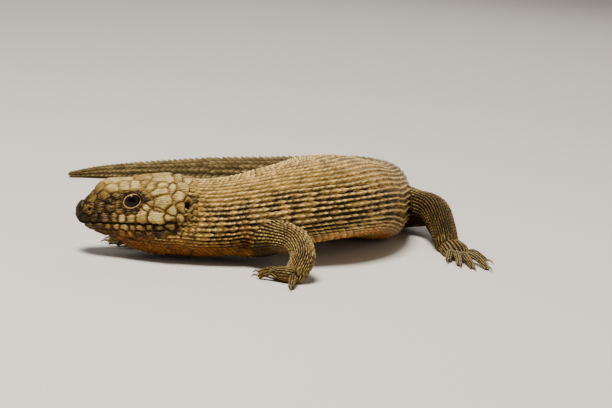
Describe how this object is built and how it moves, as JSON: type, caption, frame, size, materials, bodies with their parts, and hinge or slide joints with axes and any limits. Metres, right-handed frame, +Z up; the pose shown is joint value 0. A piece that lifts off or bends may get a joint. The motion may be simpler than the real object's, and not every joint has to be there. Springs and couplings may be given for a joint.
{
  "type": "cunninghams skink lizard model",
  "caption": "Still life-size model of a Cunningham's skink lizard, head raised low, body turned away and tail curled back behind it.",
  "frame": {"origin": "on the floor under the rear of the belly, where the belly lies flat", "axes": "+Z up; the head points to -X, the animal's left side at the shoulders faces -Y"},
  "size_m": [0.1903, 0.2149, 0.0392],
  "materials": {
    "head_shields": "dry skin under horny head shields, satin",
    "body_scales": "keeled horny scales, tan-olive with dark stripes, satin",
    "tail_scales": "spiny keeled scales, olive-brown, satin",
    "leg_scales": "small keeled scales, grey-tan with thin dark lines, satin",
    "eye": "wet dark cornea, glossy",
    "claw_horn": "greyish horn, half gloss"
  },
  "bodies": {
    "root": {"eye_left": "eye", "eye_right": "eye", "foot_left": "leg_scales", "foot_left_claw_1": "claw_horn", "foot_left_claw_2": "claw_horn", "foot_left_claw_3": "claw_horn", "foot_left_claw_4": "claw_horn", "foot_left_claw_5": "claw_horn", "foot_right": "leg_scales", "foot_right_claw_1": "claw_horn", "foot_right_claw_2": "claw_horn", "foot_right_claw_3": "claw_horn", "foot_right_claw_4": "claw_horn", "foot_right_claw_5": "claw_horn", "forearm_left": "leg_scales", "forearm_right": "leg_scales", "hand_left": "leg_scales", "hand_left_claw_1": "claw_horn", "hand_left_claw_2": "claw_horn", "hand_left_claw_3": "claw_horn", "hand_left_claw_4": "claw_horn", "hand_left_claw_5": "claw_horn", "hand_right": "leg_scales", "hand_right_claw_1": "claw_horn", "hand_right_claw_2": "claw_horn", "hand_right_claw_3": "claw_horn", "hand_right_claw_4": "claw_horn", "hand_right_claw_5": "claw_horn", "head": "head_shields", "neck": "body_scales", "shin_left": "leg_scales", "shin_right": "leg_scales", "tail_1": "tail_scales", "tail_2": "tail_scales", "tail_3": "tail_scales", "tail_4": "tail_scales", "tail_5": "tail_scales", "thigh_left": "leg_scales", "thigh_right": "leg_scales", "torso_belly": "body_scales", "torso_chest": "body_scales", "torso_hips": "body_scales", "upper_arm_left": "leg_scales", "upper_arm_right": "leg_scales"}
  },
  "joints": []
}
